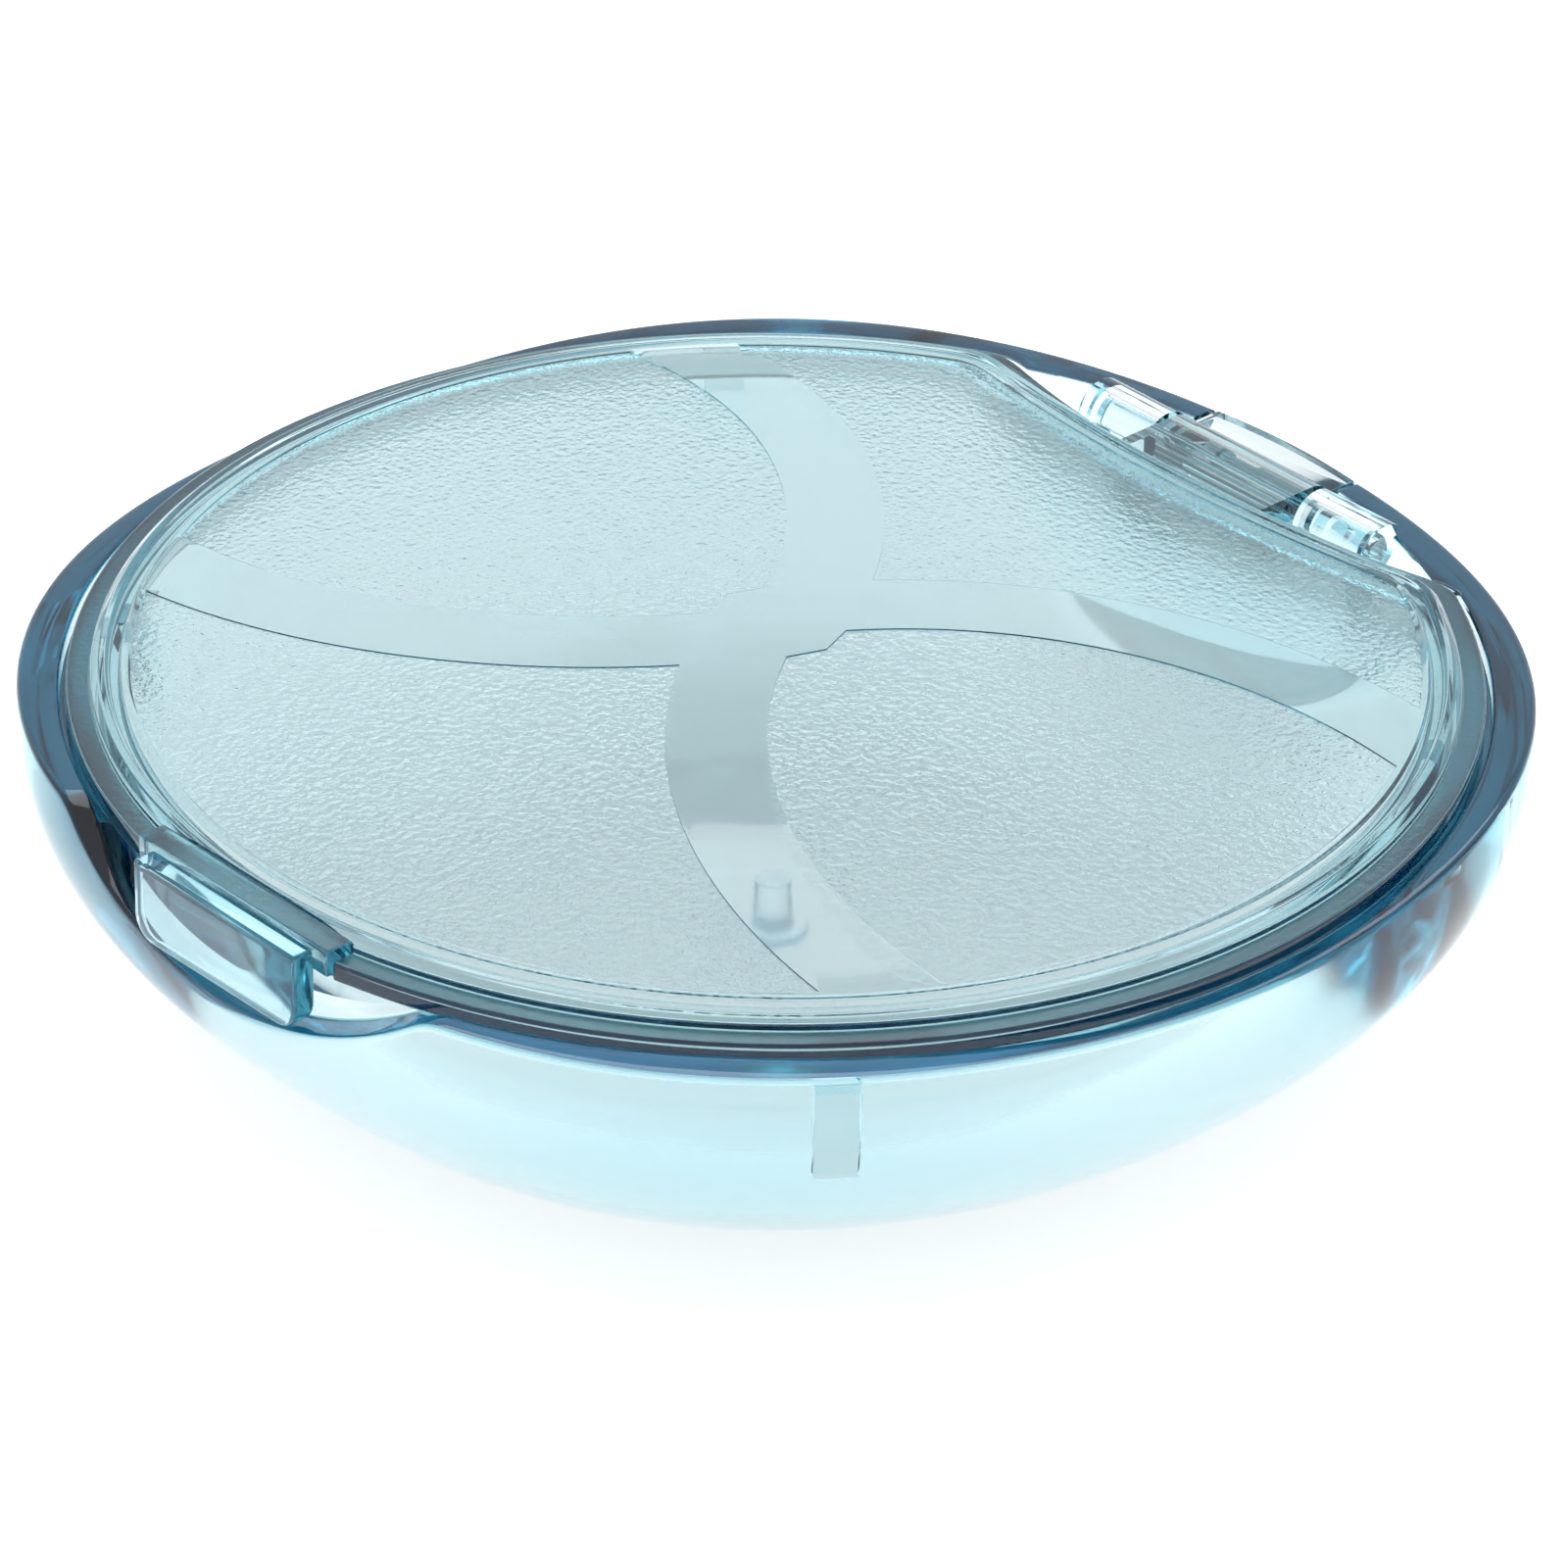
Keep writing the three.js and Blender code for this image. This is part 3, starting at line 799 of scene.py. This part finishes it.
def make_thumb_tab(material):
    tab = rounded_block(
        "thumb_tab_bar",
        (-TAB_HALF_WIDTH, TAB_OUTER_Y, at_depth(TAB_DEPTH)),
        (TAB_HALF_WIDTH, TAB_INNER_Y, at_depth(0)),
        THIN_EDGE,
    )
    combine(tab, tab_plate(), "UNION", "EXACT")
    mark_faces(tab, "grain", lambda m, n: SATIN_GRAIN * on_bar_top(m, n))
    # The bar's top face is marked for its satin roughness and for a painted dark teal shade.
    mark_faces(tab, "satin_and_top_shade", lambda m, n: float(on_bar_top(m, n)))
    finish_piece(tab, material)
    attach(tab, "lid_body")
    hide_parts("thumb_tab")


def make_pins(material):
    for side, name in ((-1, "left"), (1, "right")):
        low, high = sorted((side * PIN_INNER_X, side * PIN_OUTER_X))
        pin = bar_along_x("stub_pin_" + name, PIN_RADIUS, low, high, PIN_CHAMFER)
        finish_piece(pin, material)
        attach(pin, "bowl_body")
        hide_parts("hinge_pin_" + name)


# Materials ---------------------------------------------------------------------------------------

AQUA = (0.04, 0.62, 0.735, 1)
PLASTIC_IOR = 1.53
BOWL_DENSITY = 62
LID_DENSITY = 150
TAB_DENSITY = 200
PIN_DENSITY = 120

LID_PAINTED_SHADE_GREY = 0.69  # the lid's neutral grey base colour, painted shade that darkens the light through the lid in place of the shaded floor under the box
# Dark teal painted on the up-facing satin faces: painted shade in place of the dim ceiling they reflect.
PAINTED_TOP_SHADE_TEAL = (0.05, 0.23, 0.3, 1)
SATIN_ROUGHNESS = 0.3
POLISHED_ROUGHNESS = 0.02
SMUDGED_ROUGHNESS = 0.07

# Heights in millimetres of the surface's unevenness
MOULD_RIPPLE = 0.02
LID_RIPPLE = 0.008
LID_GRAIN = 0.095
TAB_GRAIN = 0.1

# Pattern scales, in cycles per metre
SMUDGE_SCALE = 90
RIPPLE_SCALE = 160
GRAIN_SCALE = 2600


def add_node(tree, kind, sockets=()):
    """A new shader node with the named or numbered sockets set."""
    node = tree.nodes.new("ShaderNode" + kind)
    for socket, value in dict(sockets).items():
        node.inputs[socket].default_value = value
    return node


def noise(tree, scale, detail, roughness=0.5):
    """A noise pattern fixed to the object; returns its output."""
    place = add_node(tree, "TexCoord")
    pattern = add_node(tree, "TexNoise", {"Scale": scale, "Detail": detail, "Roughness": roughness})
    tree.links.new(place.outputs["Object"], pattern.inputs["Vector"])
    return pattern.outputs["Fac"]


def face_amount(tree, name):
    """The number stored per face under this name; returns its output."""
    stored = add_node(tree, "Attribute")
    stored.attribute_name = name
    return stored.outputs["Fac"]


def tint_by_depth(tree, density):
    """The tint comes from the depth of plastic that light goes through."""
    absorption = add_node(tree, "VolumeAbsorption", {"Color": AQUA, "Density": density})
    tree.links.new(absorption.outputs["Volume"], tree.nodes["Material Output"].inputs["Volume"])


def paint_shade_colour(tree, shader, painted_shade_grey):
    """Painted shade: a neutral grey base colour over the piece, and a painted dark teal shade on the satin
    faces that face up.
    """
    shade = add_node(tree, "Mix")
    shade.data_type = "RGBA"
    # As a colour mix, the node takes its two colours at sockets 6 and 7 and gives the mix at output 2.
    # Painted shade: a neutral grey over the whole piece, white where none is painted.
    shade.inputs[6].default_value = (painted_shade_grey, painted_shade_grey, painted_shade_grey, 1)
    # Painted shade: dark teal on the up-facing satin faces.
    shade.inputs[7].default_value = PAINTED_TOP_SHADE_TEAL
    tree.links.new(face_amount(tree, "satin_and_top_shade"), shade.inputs[0])
    tree.links.new(shade.outputs[2], shader.inputs["Base Color"])


def roughen_surface(tree, shader):
    """Polished with faint smudges, and finely blasted on the satin faces."""
    polish = add_node(tree, "MapRange", {
        "From Min": 0.35,
        "From Max": 0.75,
        "To Min": POLISHED_ROUGHNESS,
        "To Max": SMUDGED_ROUGHNESS,
    })
    tree.links.new(noise(tree, SMUDGE_SCALE, 3), polish.inputs["Value"])
    dullness = add_node(tree, "Math", {1: SATIN_ROUGHNESS})
    dullness.operation = "MULTIPLY_ADD"
    tree.links.new(face_amount(tree, "satin_and_top_shade"), dullness.inputs[0])
    tree.links.new(polish.outputs["Result"], dullness.inputs[2])
    tree.links.new(dullness.outputs["Value"], shader.inputs["Roughness"])


def add_ripple(tree, height):
    """The slight waviness of a moulded surface; returns its bump node."""
    bump = add_node(tree, "Bump", {"Strength": 1.0, "Distance": height * MM})
    tree.links.new(noise(tree, RIPPLE_SCALE, 1), bump.inputs["Height"])
    return bump


def add_grain(tree, ripple, height):
    """Fine pebbling on the faces marked as grain, on top of the ripple; returns its bump node."""
    masked = add_node(tree, "Math")
    masked.operation = "MULTIPLY"
    tree.links.new(noise(tree, GRAIN_SCALE, 2, 0.45), masked.inputs[0])
    tree.links.new(face_amount(tree, "grain"), masked.inputs[1])
    bump = add_node(tree, "Bump", {"Strength": 1.0, "Distance": height * MM})
    tree.links.new(masked.outputs["Value"], bump.inputs["Height"])
    tree.links.new(ripple.outputs["Normal"], bump.inputs["Normal"])
    return bump


def clear_plastic(name, density, painted_shade_grey=1.0, ripple=MOULD_RIPPLE, grain=0.0):
    """Tinted clear plastic; `ripple` and `grain` are heights in millimetres."""
    material = bpy.data.materials.new(name)
    material.use_nodes = True
    tree = material.node_tree
    shader = tree.nodes["Principled BSDF"]
    shader.inputs["Transmission Weight"].default_value = 1
    shader.inputs["IOR"].default_value = PLASTIC_IOR
    tint_by_depth(tree, density)
    paint_shade_colour(tree, shader, painted_shade_grey)
    roughen_surface(tree, shader)
    bump = add_ripple(tree, ripple)
    if grain > 0:
        bump = add_grain(tree, bump, grain)
    tree.links.new(bump.outputs["Normal"], shader.inputs["Normal"])
    return material


# Studio ------------------------------------------------------------------------------------------

WHITE = (1, 1, 1, 1)
CEILING = (0.85, 0.85, 0.85, 1)
HORIZON_END = 0.1  # up to this height of the sky it is white, and from the next one it is ceiling
CEILING_START = 0.45

FLOOR_HALF_WIDTH = 900
FLOOR_DROP = 0.05
FLOOR_COLOUR = (0.93, 0.93, 0.93, 1)
FLOOR_GLOW = 0.58

CAMERA_AZIMUTH = math.radians(47.28)  # from the thumb tab towards +X
CAMERA_ELEVATION = math.radians(30.84)
CAMERA_ROLL = math.radians(0.94)
CAMERA_DISTANCE = 447.9
CAMERA_SHIFT_RIGHT = 0.345
CAMERA_SHIFT_DOWN = 8.138
CAMERA_LENS = 206.3

LAMP_PLACE = (-0.3, 0.35, 0.75)
LAMP_ENERGY = 2.4
LAMP_SIZE = 0.6


def make_world():
    """White from all round near the ground, under a slightly dimmer ceiling."""
    world = bpy.data.worlds.new("studio")
    bpy.context.scene.world = world
    world.use_nodes = True
    tree = world.node_tree
    place = add_node(tree, "TexCoord")
    split = add_node(tree, "SeparateXYZ")
    tree.links.new(place.outputs["Generated"], split.inputs["Vector"])
    ramp = add_node(tree, "ValToRGB")
    low, high = ramp.color_ramp.elements
    low.position = HORIZON_END
    low.color = WHITE
    high.position = CEILING_START
    high.color = CEILING
    tree.links.new(split.outputs["Z"], ramp.inputs["Fac"])
    background = tree.nodes["Background"]
    background.inputs["Strength"].default_value = 1.0
    tree.links.new(ramp.outputs["Color"], background.inputs["Color"])


def make_floor():
    """A matt white floor that glows a little, just under the foot."""
    half = FLOOR_HALF_WIDTH
    corners = [(-half, -half, 0), (half, -half, 0), (half, half, 0), (-half, half, 0)]
    floor = mesh_object("floor", corners, [(0, 1, 2, 3)])
    floor.data.transform(Matrix.Translation((0, 0, -FLOOR_DROP * MM)))
    material = bpy.data.materials.new("floor_white")
    material.use_nodes = True
    shader = material.node_tree.nodes["Principled BSDF"]
    shader.inputs["Base Color"].default_value = FLOOR_COLOUR
    shader.inputs["Roughness"].default_value = 0.9
    shader.inputs["Specular IOR Level"].default_value = 0.1
    shader.inputs["Emission Color"].default_value = WHITE
    shader.inputs["Emission Strength"].default_value = FLOOR_GLOW
    floor.data.materials.append(material)


def make_camera():
    """A long lens above the thumb tab's right; the shifts move the box in the picture."""
    back = Vector((
        math.sin(CAMERA_AZIMUTH) * math.cos(CAMERA_ELEVATION),
        -math.cos(CAMERA_AZIMUTH) * math.cos(CAMERA_ELEVATION),
        math.sin(CAMERA_ELEVATION),
    ))
    level = Vector((math.cos(CAMERA_AZIMUTH), math.sin(CAMERA_AZIMUTH), 0))
    upright = back.cross(level)
    right = level * math.cos(CAMERA_ROLL) + upright * math.sin(CAMERA_ROLL)
    up = upright * math.cos(CAMERA_ROLL) - level * math.sin(CAMERA_ROLL)
    place = Vector((0, 0, HEIGHT)) + back * CAMERA_DISTANCE
    place = place + right * CAMERA_SHIFT_RIGHT - up * CAMERA_SHIFT_DOWN
    data = bpy.data.cameras.new("camera")
    data.lens = CAMERA_LENS
    data.sensor_width = 36
    data.clip_start = 0.005
    data.clip_end = 10
    camera = in_scene("camera", data)
    turn = Matrix((right, up, back)).transposed().to_4x4()
    camera.matrix_world = Matrix.Translation(place * MM) @ turn
    bpy.context.scene.camera = camera


def make_lamp():
    """One weak broad lamp above the back left, aimed at the box."""
    data = bpy.data.lights.new("key", "AREA")
    data.energy = LAMP_ENERGY
    data.size = LAMP_SIZE
    lamp = in_scene("key", data)
    lamp.location = LAMP_PLACE
    lamp.rotation_euler = (-lamp.location).to_track_quat("-Z", "Y").to_euler()


make_camera()
make_world()
make_lamp()
make_floor()

make_bowl(clear_plastic("bowl_clear", BOWL_DENSITY))
# The lid's grey base colour is painted shade.
make_lid(clear_plastic("lid_clear", LID_DENSITY, LID_PAINTED_SHADE_GREY, LID_RIPPLE, LID_GRAIN))
make_thumb_tab(clear_plastic("tab_clear", TAB_DENSITY, grain=TAB_GRAIN))
make_pins(clear_plastic("pin_clear", PIN_DENSITY))

LIGHT_BOUNCES = 40
bpy.context.scene.view_settings.view_transform = "Standard"
bpy.context.scene.cycles.max_bounces = LIGHT_BOUNCES
bpy.context.scene.cycles.transmission_bounces = LIGHT_BOUNCES
bpy.context.scene.cycles.glossy_bounces = LIGHT_BOUNCES
